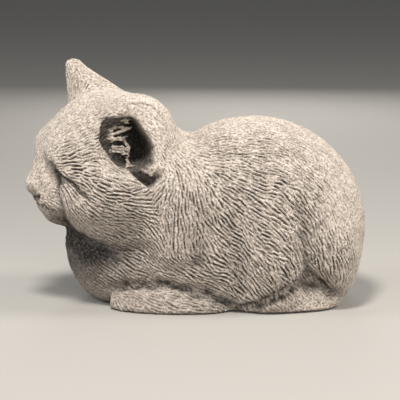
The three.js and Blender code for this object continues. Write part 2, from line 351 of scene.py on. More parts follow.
# %% [markdown]
# ## Folds
# The big forms are in the CAD solid. The folds that a sculptor cuts with a wire tool are finer: under the
# jaw, over the folded foreleg, round the hind foot, between flank, thigh and rump.

# %% Body folds
# name, width in mm, then places on the body with a depth in mm
BODY_FOLDS = [
    ("foreleg top", 4, [(-24, 15, 5, 1), (-18.6, 17, 7.2, 4), (-9, 21, 8.3, 4), (3, 22, 5.7, 4),
                        (10.6, 21, 1.5, 4)]),
    ("thigh foot", 4, [(12, 21, 1.5, 3), (20, 24.7, 3.8, 5.5), (25, 24.5, 6.4, 6), (31, 22, 10, 5)]),
    ("hip", 6, [(29.5, 22.7, 34, 0), (30.4, 23.6, 27.7, 3), (31.8, 23.4, 17.5, 4.5), (32.4, 20.9, 10.5, 5)]),
    ("hock", 4.5, [(31.6, 21, 9.4, 3), (34.5, 19.3, 8.4, 6.5), (37.5, 19, 6.6, 5), (40, 17, 5, 2)]),
    ("flank", 7, [(12.5, 24.1, 34, 0), (12.2, 24.3, 26, 1.6), (12.5, 24.4, 20, 2.2), (13.4, 24, 8, 2)]),
    ("shoulder", 7, [(2.6, 23.7, 35, 0), (4, 23.8, 26, 1.8), (3.2, 23.8, 19, 1.6), (1, 24, 14, 2)]),
    ("elbow", 5, [(-4, 24, 14, 0), (0.6, 23.7, 14.7, 2.5), (2.5, 24, 17, 0)]),
    ("rib", 7, [(18, 21, 41, 0), (20.4, 24, 35, 1.2), (21.5, 25.5, 29, 1), (22, 26, 24, 0)]),
    ("chest", 6, [(-27, 16, 11, 1), (-20, 18.4, 14.5, 2), (-13, 21, 15.5, 1.5), (-4.5, 23.5, 13.5, 0)]),
]
carve(cat, BODY_FOLDS, on_body)

# %% Head folds
# the same, with places on the head
HEAD_FOLDS = [
    ("jaw", 5.5, [(14, 0, -19, 1), (13.3, 4, -20.5, 3), (10.5, 10, -21.8, 5.5), (6, 14, -23, 5.5),
                  (0, 17, -23.6, 4), (-8, 24, -21, 0)]),
    ("muzzle side", 4, [(17.3, 10, -5.5, 1), (16.9, 10.3, -9.6, 2.5), (16.2, 9.8, -12.5, 2),
                        (14.5, 7.5, -16, 0.5)]),
    ("eye socket", 3.5, [(19.3, 9.5, 1.5, 1), (18, 10.8, -1.8, 2), (16.6, 11.5, -3.6, 1)]),
]
carve(cat, HEAD_FOLDS, on_head)

# %% [markdown]
# ## The open ear
# The near ear is folded to the side, so that one looks into it: a shallow front half, a deep hole behind
# it, and under them a pocket where the ear's lower lobe dips behind the fur of the cheek. All are outlines
# seen from the side of the head, and what lies inside an outline is pushed in or out along that view.
# That keeps the rims as sharp as a knife cut, which a boolean on so fine a mesh would do no better.

# %% Outlines of the ear
# towards the nose and up, on the head
EAR_OPENING = [(6.6, 10.8), (6.3, 12.8), (5.4, 14.5), (4.4, 15.2), (1.9, 15.1), (-0.4, 15.4), (-2.8, 15.4),
               (-4.3, 13.8), (-5.7, 11.5), (-7.5, 9.1), (-8.4, 6.7), (-8.2, 4.4), (-7.7, 1.9), (-6, 0.5),
               (-3.3, 0.3), (-0.9, 0), (1.5, 0.6), (3.5, 3), (4.6, 5), (6.1, 6.8), (6.8, 8.6)]
EAR_HOLE = [(-1.9, 13.9), (-3.4, 14.4), (-5.4, 11.8), (-7.2, 9.2), (-8.1, 6.5), (-7.9, 3.9), (-6.9, 1.6),
            (-4.5, 0.6), (-2.4, 2.7), (-2.1, 7), (-2.2, 10.7)]
EAR_LOBE = [(-1.2, 0.7), (-1.4, -0.6), (-2.2, -1.8), (-3.8, -3.4), (-5.8, -4.8), (-7.6, -3.5),
            (-9.4, -1.9), (-11, 0.9), (-9, 2.1), (-7.8, 1.7), (-6, 1.2), (-4.5, 1), (-2.5, 0.9)]
EAR_BACK = [(-0.4, 15.7), (-2.1, 15.5), (-3.8, 13.8), (-5.2, 11.5), (-6.9, 9), (-7.8, 6.7), (-7.7, 4.4),
            (-7.2, 1.7), (-9.6, 0.5), (-11.5, 4), (-11.8, 9), (-10.8, 13), (-8, 16.8), (-4, 18.2), (-1, 17.8)]
print("corners of the opening:", len(EAR_OPENING))

# %% Inside an outline
# From a point, look level towards the nose: past an odd number of edges of the outline it is inside. The
# nearest edge says how far inside.
EAR_SIDE = 3  # the outlines reach no further in than this
LOBE_FLOOR = (-3, 19, -4)  # a place on the floor of the lobe's pocket
LOBE_RISE_UP = 0.6
LOBE_RISE_FORWARD = -0.35


def inside(points, outline):
    """How far inside an outline on the near side of the head each point lies, in metres; 0 outside it."""
    u, v, w = head_places(points).T
    corners = np.array(outline, float)
    odd = np.zeros(len(points), bool)
    away = np.full(len(points), np.inf)
    for (au, aw), (bu, bw) in zip(corners, np.roll(corners, -1, axis=0)):
        odd ^= ((aw > w) != (bw > w)) & (u < (bu - au) * (w - aw) / (bw - aw + TINY) + au)
        run = np.array([bu - au, bw - aw])
        t = np.clip(((u - au) * run[0] + (w - aw) * run[1]) / (run @ run), 0, 1)
        away = np.minimum(away, np.hypot(u - au - t * run[0], w - aw - t * run[1]))
    return np.where(odd & (v > EAR_SIDE), away * SHARE, 0)


def lobe_level(points):
    """How far out the floor of the lobe's pocket lies: least at the tip of its V."""
    u, _, w = head_places(points).T
    return LOBE_FLOOR[1] + LOBE_RISE_UP * (w - LOBE_FLOOR[2]) + LOBE_RISE_FORWARD * (u - LOBE_FLOOR[0])


print("points in the opening:", np.count_nonzero(inside(points_of(cat), EAR_OPENING)))

# %% Cut the ear open
# The ear's back is filled level with the skin behind and above it, by a curved sheet fitted to that skin.
OPENING_DEPTH = 2.5 * MM
OPENING_WALL = 1.2 * MM  # how far the skin takes to reach that depth
HOLE_DEPTH = 12 * MM
HOLE_WALL = 3 * MM
RIM = 0.8 * MM

points = points_of(cat)
u, v, w = head_places(points).T
terms = np.column_stack([np.ones(len(u)), u, w, u * u, u * w, w * w])
round_the_back = (v > 15) & (u > -14) & (u < -0.5) & (w > 0) & (w < 19) & ((u < -9.5) | (w > 16.5))
fit = np.linalg.lstsq(terms[round_the_back], v[round_the_back], rcond=None)[0]
back = smoothstep(0, RIM, inside(points, EAR_BACK))
rise = (terms @ fit - v) * back
rise += (lobe_level(points) - v) * smoothstep(0, MM, inside(points, EAR_LOBE))
push = OPENING_DEPTH * smoothstep(0, OPENING_WALL, inside(points, EAR_OPENING))
push += HOLE_DEPTH * smoothstep(0, HOLE_WALL, inside(points, EAR_HOLE))
set_points(cat, points + (rise * SHARE - push * (1 - back))[:, None] * HEAD_SIDE)
print("ear cut, deepest push", round(float(push.max()) / MM, 1), "mm")

# %% [markdown]
# ## Tufts in the ear
# Curled strands of hair stand out from the front of the ear over the hole. In clay they are thin rolls
# pressed on. A curve with a round bevel is such a roll, with a radius at each point, so it can thin out
# and have lumps. The rolls are joined to the cat and remeshed with it into one skin.

# %% Places of the tufts
# thickness in mm, then places on the head from root to tip
TUFTS = [
    (1.2, [(3, 14.2, 11), (1.5, 14.6, 11.7), (-0.1, 14.9, 12), (-2.1, 14.9, 11.8), (-3.3, 14.8, 11.9)]),
    (1.4, [(2.8, 14, 9.6), (0.9, 14.8, 10.5), (-0.6, 15.1, 10.9), (-2.1, 15.1, 11.5), (-3.1, 15, 11.6)]),
    (1.2, [(3.3, 14, 8.9), (2.4, 14.6, 8.7), (0.7, 14.9, 9), (-1.1, 14.9, 9), (-2.2, 14.8, 9.3)]),
    (1.1, [(3, 14, 7.8), (1.4, 14.7, 8.5), (0, 14.9, 8.4), (-1.5, 14.8, 8.5)]),
    (1.4, [(-1.2, 14, 7.9), (-1.8, 14.8, 7), (-2.3, 15, 6.1), (-2.5, 14.9, 4.6)]),
    (1.5, [(2.6, 14, 6.6), (1.2, 14.7, 6.3), (-0.3, 15.1, 6.3), (-1.5, 15.1, 5.8), (-2.5, 15, 5.6)]),
    (1.2, [(2.4, 14, 5.9), (0.8, 14.9, 5.6), (-0.9, 15.1, 5.4), (-2.4, 15, 4.9)]),
    (1.4, [(2.6, 14.1, 5.3), (0.7, 14.9, 5), (-0.5, 15, 4.4), (-2, 15, 4.1), (-2.4, 15, 3.4)]),
    (1.2, [(-1.6, 14.3, 3.5), (-1.8, 15, 2.6), (-1.5, 15.2, 1.4), (-2, 15.5, 0.4)]),
    (1.2, [(-1.9, 14.4, 2.9), (-2.2, 15, 1.6), (-2.5, 15.5, 0.6), (-2.9, 16, -0.2)]),
    (1.0, [(0.1, 14.6, 14.8), (-1, 15, 14.1), (-2.2, 15, 13.8)]),
    (1.0, [(-2.1, 14.8, 14.3), (-1.2, 15.2, 13.4), (-2.6, 15, 12.9)]),
    (0.9, [(-4.4, 21, 0.3), (-5.4, 22.6, -0.2), (-6.6, 23, -0.5), (-7.4, 23.4, 0)]),
    (0.9, [(-5.8, 22.6, -0.8), (-6.6, 22.9, -1.2), (-7.2, 23, -0.7)]),
]
print("tufts:", len(TUFTS))

# %% Roll the tufts
TUFT_STEPS = 3
TIP_THINNER = 0.5
LUMP = 0.2
LUMP_TURN = 2.3  # radians from one point of a roll to the next

tuft_lines = [(smooth_line(on_head(steps), TUFT_STEPS), thick * MM) for thick, steps in TUFTS]

rolls = bpy.data.curves.new("ear tufts", "CURVE")
rolls.dimensions = "3D"
rolls.bevel_depth = 1
rolls.use_fill_caps = True
for line, thick in tuft_lines:
    spline = rolls.splines.new("POLY")
    spline.points.add(len(line) - 1)
    for number, (point, place) in enumerate(zip(spline.points, line)):
        thinner = 1 - TIP_THINNER * (number / len(line)) ** 2
        lumpy = 1 + LUMP * math.sin(LUMP_TURN * number)
        point.co = (*place, 1)
        point.radius = thick * thinner * lumpy
print("points in the rolls:", sum(len(line) for line, _ in tuft_lines))

# %% Join and remesh
tufts = bpy.data.objects.new("ear tufts", rolls)
scene.collection.objects.link(tufts)
select(tufts)
bpy.ops.object.convert(target="MESH")
cat.select_set(True)
bpy.context.view_layer.objects.active = cat
bpy.ops.object.join()
apply(cat, "REMESH", mode="VOXEL", voxel_size=FINE_CLAY)
print("clay skin:", len(cat.data.vertices), "points")

# %% [markdown]
# ## Fine creases
# The closed eyes, the nostrils and the mouth are thinner than the rest and decide how the face looks. The
# skin is subdivided once more round them, so that a crease one millimetre wide stays crisp.

# %% Finer skin on the face
# least and most: towards the nose, to either side and up, on the head
EYE_BOX = [(11, 30), (8, 18), (-7.5, 2.5)]
NOSE_BOX = [(18, 30), (-1, 8), (-13.5, -7.5)]


def fine_part(points):
    """Whether each point is by an eye, the nose or the mouth."""
    u, v, w = head_places(points).T
    places = np.column_stack([u, abs(v), w])[:, None]
    least, most = np.array([EYE_BOX, NOSE_BOX]).transpose(2, 0, 1)
    return ((places > least) & (places < most)).all(2).any(1)


select(cat)
for parts in (cat.data.polygons, cat.data.edges):
    parts.foreach_set("select", np.zeros(len(parts), bool))
cat.data.vertices.foreach_set("select", fine_part(points_of(cat)))
bpy.ops.object.mode_set(mode="EDIT")
bpy.ops.mesh.select_mode(type="VERT")
bpy.ops.mesh.subdivide(number_cuts=1)
bpy.ops.object.mode_set(mode="OBJECT")
print("clay skin:", len(cat.data.vertices), "points")

# %% Creases of the face
# name, width in mm, then places with a depth in mm
FACE_CREASES = [
    ("eye pit", 1.8, [(19.4, 9.3, 1.3, 1), (18.9, 10, 0.3, 3), (18.2, 11, -1, 4), (17.9, 11.8, -1.4, 3)]),
    ("pit floor", 3, [(19.2, 9, 1, 0.5), (18.2, 9.6, -1.6, 3), (17.4, 9.6, -3.4, 2)]),
    ("lid line", 1, [(17.9, 11.9, -0.9, 4), (16.2, 13.6, -2.2, 4), (14.2, 15.3, -3.4, 3.4),
                     (12.5, 16.4, -5.5, 2.8), (11, 18, -7.2, 2), (9.7, 19.5, -8, 0)]),
    ("upper lid", 2.2, [(17.2, 13, 0.4, -0.4), (15.4, 15, -0.6, -1), (13.2, 16.6, -2.6, -0.9),
                        (11.6, 17.8, -4.8, -0.5)]),
    ("lower lid", 3, [(16.8, 12, -4.4, -0.9), (15.2, 13.2, -4.6, -1.4), (13.6, 15, -6, -0.5)]),
    ("nostril", 1.2, [(22.3, 1.3, -9.7, 2), (22.1, 2.6, -9.5, 3.2), (21.9, 4, -8.9, 2.6),
                      (21.7, 4.6, -8.1, 0)]),
    ("lip cleft", 0.9, [(22.6, 0, -9, 0), (22.3, 0, -9.8, 1.4), (21.7, 0, -10.8, 2)]),
    ("mouth", 0.9, [(21.7, 0, -10.7, 2), (21.4, 1.6, -11.3, 2.2), (21.2, 3.6, -11.5, 2.3),
                    (20.8, 5.4, -11.3, 2.4), (19.3, 6.1, -12.1, 2.2), (18.1, 6.6, -12.6, 1.8),
                    (16.9, 6.2, -13.7, 0)]),
]
carve(cat, FACE_CREASES, on_head)

# %% Creases of the ear and the body
EAR_CREASES = [
    ("ear crest", 1.1, [(2.8, 16.1, 17.4, 0), (-1.7, 17.6, 19, 1), (-7.9, 18.8, 18, 1.2),
                        (-12.6, 19, 13.7, 0)]),
]
BODY_CREASES = [
    ("foreleg line", 1.5, [(-23, 15.5, 5.5, 0), (-18.6, 17, 7.2, 2), (-9, 21, 8.3, 2), (3, 22, 5.7, 1.6),
                           (9, 21.6, 3, 1)]),
    ("foot line", 1.4, [(14, 22, 2, 1), (20, 24.7, 3.8, 2), (25, 24.5, 6.4, 2), (31, 22, 10, 1.6)]),
    ("rump crease", 1.1, [(36.8, 22.9, 16.5, 0), (38.2, 22.7, 19.7, 1.2), (39.8, 22, 22.6, 0)]),
    ("hip crease", 1.1, [(32.4, 23.4, 21.9, 0), (35.3, 21.9, 25.9, 1.2), (37.7, 20.4, 28.2, 0)]),
    ("thigh fold", 1.4, [(14.5, 25.2, 15.4, 0), (17.6, 26.9, 15.1, 1.3), (20.7, 27.3, 14.7, 0)]),
]
carve(cat, EAR_CREASES, on_head, sides=(1,))
carve(cat, BODY_CREASES, on_body)

# %% [markdown]
# ## The lie of the coat
# A sculptor combs a coat in strokes that follow the hair. Here a few locks say which way the hair lies at
# a place on the cat, and how deeply it is combed there: hardly on the nose, deeply on the flank. Between
# the locks the lie is blended. A hair's line has no front or back, so it is the doubled angle that is
# blended: a lie and its reverse then agree instead of cancelling out.

# %% Locks of the body
# place from the origin; lie: back and up as seen from the left; depth: 0 to 1
BODY_LOCKS = [
    ((0, -8, 48), (1, -0.05), 0.45),
    ((9, -6, 52), (1, 0.15), 0.4),
    ((19, -6, 53), (1, 0), 0.35),
    ((30, -7, 50), (1, -0.35), 0.4),
    ((40, -9, 43), (0.8, -0.8), 0.35),
    ((47, -9, 31), (0.35, -1), 0.2),
    ((49, -9, 16), (0.1, -1), 0.25),
    ((45, -17, 9), (-0.2, -1), 0.5),
    ((7, -15, 47), (1, -0.15), 0.75),
    ((15, -17, 47), (1, -0.35), 0.7),
    ((25, -18, 44), (1, -0.5), 0.7),
    ((35, -18, 38), (0.8, -0.8), 0.6),
    ((41, -19, 28), (0.5, -1), 0.35),
    ((3, -20, 41), (0.8, -0.6), 0.8),
    ((11, -22, 39), (1, -0.5), 1),
    ((21, -23, 38), (1, -0.55), 1),
    ((29, -23, 32), (0.8, -0.75), 1),
    ((37, -22, 24), (0.4, -1), 0.65),
    ((3, -24, 33), (0.45, -0.9), 0.8),
    ((8, -24, 29), (0.7, -0.75), 1),
    ((17, -26, 28), (1, -0.6), 1),
    ((25, -26, 24), (1, -0.6), 1),
    ((1, -24, 23), (0.15, -1), 0.6),
    ((10, -24, 20), (0.8, -0.7), 1),
    ((19, -27, 20), (1, -0.7), 1),
    ((27, -26, 16), (0.8, -0.9), 1),
    ((35, -23, 17), (0.45, -1), 0.9),
    ((41, -22, 15), (0.25, -1), 0.9),
    ((5, -24, 13), (0.9, -0.6), 1),
    ((13, -24, 9), (0.75, -0.8), 1),
    ((19, -26, 9), (0.5, -1), 1),
    ((25, -26, 11), (0.5, -1), 0.9),
    ((1, -22, 8.5), (1, -0.5), 1),
    ((30, -22, 4), (0.5, -0.5), 0.3),
    ((40, -17, 3), (0.8, 0.2), 0.35),
    ((-13, -23, 4), (1, -0.35), 0.5),
    ((-2, -24, 3), (1, -0.3), 0.5),
    ((-20, -20, 3), (0.5, -0.6), 0.35),
    ((-4, -25, 22), (-0.1, -1), 0.5),
    ((-22, -17, 12), (1, -0.4), 0.8),
    ((-10, -21, 11), (1, -0.3), 0.9),
    ((-31, -15, 14), (0.6, -0.8), 0.6),
    ((-36, -4, 10), (0, -1), 0.6),
]
print("locks of the body:", len(BODY_LOCKS))

# %% Locks of the head
HEAD_LOCKS = [
    ((-48, -12, 36), (1, 0), 0),
    ((-43, -14, 36), (1, 0), 0.05),
    ((-43, -15, 30), (1, -0.6), 0.3),
    ((-40, -12, 25), (1, -0.7), 0.45),
    ((-43, -12, 49), (0.6, 1), 0.12),
    ((-39, -7, 56), (0.7, 0.8), 0.35),
    ((-32, -11, 59), (1, 0.7), 0.45),
    ((-34, -17, 52), (1, 0.85), 0.5),
    ((-29, -19, 53), (1, 0.6), 0.5),
    ((-33, -20, 46), (1, 0.3), 0.7),
    ((-28, -21, 47), (1, -0.05), 0.8),
    ((-27, -23, 41), (1, -0.35), 1),
    ((-33, -22, 41), (1, -0.2), 0.7),
    ((-34, -21, 34), (0.6, -0.9), 0.8),
    ((-36, -20, 30), (0.5, -1), 0.7),
    ((-30, -23, 32), (0.9, -0.6), 1),
    ((-23, -24, 36), (1, -0.3), 1),
    ((-24, -23, 29), (1, -0.35), 1),
    ((-16, -23, 32), (1, -0.1), 1),
    ((-14, -22, 26), (1, -0.25), 1),
    ((-22, -19, 21), (1, -0.25), 1),
    ((-32, -19, 24), (0.8, -0.6), 0.8),
    ((-9, -24, 35), (1, 0.7), 0.8),
    ((-25, -8, 61), (1, -0.2), 0.4),
    ((-16, -16, 62), (1, -0.2), 0.15),
    ((-10, -19, 53), (0.7, -0.7), 0.1),
    ((-6, -17, 47), (0.2, -1), 0.5),
    ((-3, -21, 42), (0.15, -1), 0.7),
    ((-6, -24, 36), (0, -1), 0.8),
    ((-10, -21, 44), (0.3, -1), 0.15),
    ((-3, -25, 34), (0, -1), 0.8),
    ((-6, -25, 28), (0.3, -1), 0.7),
]
# The far ear stands up by itself, so its lock has no mirror image.
FAR_EAR_LOCK = ((-34, 6, 63), (0.5, -1), 0.4)
print("locks of the head:", len(HEAD_LOCKS) + 1)


# %% Locks on both sides
def locks():
    """All the locks with their mirror images on the other side of the body and of the turned head."""
    for place, (back, up), depth in BODY_LOCKS:
        for side in (1, -1):
            yield np.array(place) * [1, side, 1], np.array([back, 0, up]), depth
    for place, (back, up), depth in HEAD_LOCKS + [FAR_EAR_LOCK]:
        yield np.array(place), np.array([back, 0, up]), depth
    for place, (back, up), depth in HEAD_LOCKS:
        across = (np.array(place) - HEAD_CENTRE) @ HEAD_SIDE
        turned = np.array([back, 0, up])
        yield place - 2 * across * HEAD_SIDE, turned - 2 * (turned @ HEAD_SIDE) * HEAD_SIDE, depth


print("locks with their mirror images:", len(list(locks())))

# %% Blend the locks
LOCK_REACH = 5 * SHARE
WAYWARD = math.radians(14)  # how far the hair strays from its lie, in short and in long waves
SHORT_WAVE = 6 * MM
LONG_WAVE = 14 * MM
ASLANT = (0.31, 0.9, -0.3)  # a direction from which the angle of the lie is counted
NEARLY_NOTHING = 1e-30


def unit(vectors):
    return vectors / np.maximum(np.linalg.norm(vectors, axis=1, keepdims=True), TINY)


def lie_of_coat(points, normals):
    """The hair's direction along the skin at each point, and how deeply it is combed there."""
    first = unit(np.cross(normals, ASLANT))
    second = np.cross(normals, first)
    even, odd, depth, total = 0, 0, 0, NEARLY_NOTHING
    for place, lie, lock_depth in locks():
        away = ((points - place * SHARE) ** 2).sum(1)
        share = np.exp(-away / (2 * LOCK_REACH**2))
        a, b = first @ lie, second @ lie
        even = even + share * (a * a - b * b)
        odd = odd + share * 2 * a * b
        depth = depth + share * lock_depth
        total = total + share
    turn = np.arctan2(odd, even) / 2
    turn = turn + WAYWARD * (cloud(points, SHORT_WAVE, 3) + cloud(points, LONG_WAVE, 4))
    lie = np.cos(turn)[:, None] * first + np.sin(turn)[:, None] * second
    return lie, depth / total


# %% [markdown]
# ## Combing
# The coat is ridges of hair side by side, which fork, join and die out. A stretched noise in the material
# would only paint them, and one noise can't turn with the hair. So each small patch of the skin gets a few
# ridges of its own, running along the lie there, each patch a little off in pitch, direction and strength.
# Where patches overlap their waves are added up, and the ridges join into long wavy strokes.

# %% Patches of hair
PITCH = 3.1 * MM  # from one stroke of the comb to the next
FINEST = 0.75  # of that pitch, where the coat is hardly combed
PITCH_SPREAD = 0.22  # share by which patches differ in pitch
PATCH = 3.4 * MM  # cell of the grid, with one patch in each
PATCH_LONG = 3.5 * MM  # how far a patch reaches along the lie
PATCH_WIDE = 1.9 * MM  # and across it
STRAY = math.radians(17)  # how far a patch's ridges may turn off the lie
QUIETEST = 0.3  # of the strongest patch
CONTRAST = 1.5  # above 1, few patches are strong and many are weak
REACH = 5  # cells of the grid that a point looks at, each way

grid_corner = np.array(low) - 2 * MM


def cells_of(points):
    return ((points - grid_corner) / PATCH).astype(int)


def lay_patches(points, normals, lie, depth):
    """One patch of ridges in each cell of a grid that holds skin, on a point drawn by lot."""
    dice = np.random.default_rng(5)
    cells = cells_of(points)
    order = dice.permutation(len(points))
    size = cells.max(0) + REACH
    _, chosen = np.unique(np.ravel_multi_index((cells[order] + 2).T, size), return_index=True)
    chosen = order[chosen]
    grid = np.full(size, -1)
    grid[tuple((cells[chosen] + 2).T)] = np.arange(len(chosen))
    spread = 1 + PITCH_SPREAD * dice.uniform(-1, 1, len(chosen))
    pitch = PITCH * (FINEST + (1 - FINEST) * depth[chosen]) * spread
    stray = STRAY * dice.uniform(-1, 1, len(chosen))[:, None]
    across = unit(np.cross(normals[chosen], lie[chosen]))
    across = np.cos(stray) * across + np.sin(stray) * lie[chosen]
    return {"grid": grid, "at": points[chosen], "lie": lie[chosen], "across": across,
            "turns": 2 * math.pi / pitch, "start": dice.uniform(0, 2 * math.pi, len(chosen)),
            "loud": dice.uniform(QUIETEST, 1, len(chosen)) ** CONTRAST}


# %% Waves of hair
LEAST_SHARE = 1e-9


def waves(points, patches):
    """The patches' waves added up at each point, as the two parts of a wave."""
    wave = np.zeros((len(points), 2))
    total = np.full(len(points), LEAST_SHARE)
    cells = cells_of(points)
    for step in np.ndindex(REACH, REACH, REACH):
        spot = np.clip(cells + step, 0, np.array(patches["grid"].shape) - 1)
        found = patches["grid"][tuple(spot.T)]
        here = np.flatnonzero(found >= 0)
        patch = found[here]
        gap = points[here] - patches["at"][patch]
        along = (gap * patches["lie"][patch]).sum(1)
        across = (gap * patches["across"][patch]).sum(1)
        rest = (gap * gap).sum(1) - along**2 - across**2
        away = along**2 / PATCH_LONG**2 + across**2 / PATCH_WIDE**2 + rest / PATCH**2
        share = np.exp(-away / 2)
        turn = patches["turns"][patch] * across + patches["start"][patch]
        wave[here, 0] += share * patches["loud"][patch] * np.cos(turn)
        wave[here, 1] += share * patches["loud"][patch] * np.sin(turn)
        total[here] += share
    return wave / total[:, None]


# %% Comb the skin
COMB_DEPTH = 3 * MM
FAINTEST = 0.2  # of that depth, where neighbouring waves cancel out
FAINT = 0.02  # strengths of the wave between which it grows to its full depth
FULL = 0.35
CLUMP = 7 * MM
CLUMP_DEPTH = 0.5
CRUMB = 3.4 * MM
CRUMB_DEPTH = 0.5 * MM
FLAT_EDGE = 2 * MM  # the coat fades out this far above the ground
RIDGE_MEAN = 0.8  # taken off each ridge, so that the coat doesn't make the cat grow

points = points_of(cat)
normals = normals_of(cat)
lie, depth = lie_of_coat(points, normals)
patches = lay_patches(points, normals, lie, depth)
wave = waves(points, patches)
strength = np.linalg.norm(wave, axis=1)
ridge = np.sqrt((1 + wave[:, 0] / np.maximum(strength, LEAST_SHARE)) / 2)
clumps = 1 + CLUMP_DEPTH * cloud(points, CLUMP, 6)
shift = (ridge - RIDGE_MEAN) * COMB_DEPTH * clumps * (FAINTEST + smoothstep(FAINT, FULL, strength))
shift += CRUMB_DEPTH * cloud(points, CRUMB, 7)
shift *= depth * smoothstep(0, FLAT_EDGE, points[:, 2])
set_points(cat, points + normals * shift[:, None])
print("patches:", len(patches["at"]), "highest ridge", round(float(shift.max()) / MM, 2), "mm")

# %% [markdown]
# ## Thin the mesh
# The clay has many more faces than the shape needs. Decimate takes them where the skin is flat. A vertex
# group keeps it away from the eyes, the nose and the mouth.

# %% Decimate
TRIANGLES = 196_000  # how many triangles the mesh is thinned to; a piece stays under 200,000

edit_all(cat, bpy.ops.mesh.quads_convert_to_tris)
before = len(cat.data.polygons)
ratio = min(1, TRIANGLES / before)
group = cat.vertex_groups.new(name="thin")
group.add(np.flatnonzero(~fine_part(points_of(cat))).tolist(), 1, "REPLACE")
apply(cat, "DECIMATE", decimate_type="COLLAPSE", ratio=ratio, vertex_group=group.name)
cat.data.polygons.foreach_set("use_smooth", np.ones(len(cat.data.polygons), bool))
print("triangles:", before, "->", len(cat.data.polygons))

# %% [markdown]
# ## Painted shade and dirt
# The grooves of the coat, the folds and creases, the underside of the jaw and the chest under it are painted
# darker, as painted shade, and the ear, nearly black inside, as painted shade and dirt. The waves of the coat
# and this darkening are kept on the mesh as two attributes, for the material to read.

# %% Painted shade on the body
# name, width in mm, then places with an amount from 0 to 1
# Painted shade in the folds, valleys and creases, and a painted shadow of the head on the chest. The broad
# 'foreleg top' line makes the foreleg a little darker.
BODY_SHADE = [
    ("chest", 20, [(-37, 6, 13, 0.7), (-32, 14, 12, 0.7), (-25, 17, 12, 0.3), (-17, 19, 12, 0)]),
    ("foreleg top", 14, [(-24, 17, 4, 0.2), (-14, 22, 4, 0.2), (-2, 24, 3, 0.15), (8, 22, 2, 0.1)]),
    ("foreleg", 4, [(-23, 15.5, 5.5, 0.3), (-18.6, 17, 7.2, 0.6), (-9, 21, 8.3, 0.6), (3, 22, 5.7, 0.5),
                    (10, 21, 2, 0.7)]),
    ("foot", 3.5, [(12, 21, 1.5, 0.6), (20, 24.7, 3.8, 0.7), (25, 24.5, 6.4, 0.7), (31, 22, 10, 0.7)]),
    ("hip", 4, [(29.5, 22.7, 32, 0.1), (31, 23.6, 24, 0.4), (31.8, 23.4, 17.5, 0.4),
                (32.4, 20.9, 10.5, 0.5)]),
    ("hock", 5.5, [(31.6, 21, 9.4, 0.7), (34.5, 19.3, 8.4, 0.95), (37.5, 19, 6.6, 0.7), (41, 16, 4.5, 0.3)]),
    ("flank", 9, [(12.2, 24.3, 26, 0.1), (12.5, 24.4, 20, 0.25), (13.4, 24, 8, 0.3)]),
    ("elbow", 6, [(0, 24, 26, 0.1), (0.6, 23.7, 15, 0.4), (4, 24, 12, 0.2)]),
    ("foreleg line", 1.8, [(-22, 16, 6, 0.2), (-18.6, 17, 7.2, 0.4), (-9, 21, 8.3, 0.4),
                           (3, 22, 5.7, 0.4), (9, 21.6, 3, 0.3)]),
    ("foot line", 1.5, [(14, 22, 2, 0.4), (20, 24.7, 3.8, 0.7), (25, 24.5, 6.4, 0.8), (31, 22, 10, 0.7)]),
    ("creases", 1.5, [(36.8, 22.9, 16.5, 0), (38.2, 22.7, 19.7, 0.5), (39.8, 22, 22.6, 0)]),
    ("creases", 1.5, [(32.4, 23.4, 21.9, 0), (35.3, 21.9, 25.9, 0.5), (37.7, 20.4, 28.2, 0)]),
]
print("shaded lines on the body:", len(BODY_SHADE))

# %% Painted shade on the head
# Painted shade under the jaw, chin and nose, beside the muzzle, in the eye's pit, and along the lid, nostril,
# lip cleft and mouth.
HEAD_SHADE = [
    ("jaw", 10, [(14, 0, -19.5, 0.7), (13.3, 4, -21, 0.85), (10.5, 10, -22.5, 0.9), (6, 14, -24, 0.85),
                 (0, 17, -24, 0.5), (-8, 24, -21, 0)]),
    ("eye", 2.4, [(19.4, 9.3, 1.3, 0.5), (18.9, 10, 0.3, 0.95), (18.2, 11, -1, 1), (17.9, 11.8, -1.4, 0.9)]),
    ("pit", 3.8, [(18.9, 9.4, 0.4, 0.5), (18.1, 9.8, -1.6, 1), (17.3, 9.4, -3.8, 0.8)]),
    ("chin", 6, [(17, 4, -15, 0.45), (14, 7, -17.5, 0.65), (11, 9, -20, 0.5)]),
    ("lid", 1.5, [(17.9, 11.9, -0.9, 1), (16.2, 13.6, -2.2, 1), (14.2, 15.3, -3.4, 1),
                  (12.5, 16.4, -5.5, 0.95), (11, 18, -7.2, 0.8), (9.7, 19.5, -8, 0)]),
    ("nostril", 1.5, [(22.3, 1.3, -9.7, 0.7), (22.1, 2.6, -9.5, 1), (21.9, 4, -8.9, 1),
                      (21.7, 4.6, -8.1, 0.2)]),
    ("under the nose", 3, [(22.6, 0, -9.2, 0.25), (22.2, 3, -9, 0.35), (21.7, 4.6, -8.6, 0)]),
    ("lip cleft", 0.9, [(22.6, 0, -9, 0), (22.3, 0, -9.8, 0.6), (21.7, 0, -10.8, 0.7)]),
    ("mouth", 1, [(21.7, 0, -10.7, 0.7), (21.4, 1.6, -11.3, 0.8), (21.2, 3.6, -11.5, 0.9),
                  (20.8, 5.4, -11.3, 0.9), (19.3, 6.1, -12.1, 0.9), (18.1, 6.6, -12.6, 0.7),
                  (16.9, 6.2, -13.7, 0)]),
    ("muzzle", 4.5, [(17.3, 10, -5.5, 0.45), (16.9, 10.3, -9.6, 0.45), (16.2, 9.8, -12.5, 0.5),
                     (14.5, 7.5, -16, 0.6)]),
]
# Painted shade in the crease along the ear's crest.
EAR_SHADE = [
    ("crest", 1, [(2.8, 16.1, 17.4, 0), (-1.7, 17.6, 19, 0.6), (-7.9, 18.8, 18, 0.6), (-12.6, 19, 13.7, 0)]),
]
print("shaded lines on the head:", len(HEAD_SHADE) + len(EAR_SHADE))


# %% Keep the coat on the mesh
def keep(piece, name, kind, field, values):
    """Keeps a value for each point on the mesh, as an attribute."""
    attribute = piece.data.attributes.new(name, kind, "POINT")
    attribute.data.foreach_set(field, values.astype(np.float32).ravel())


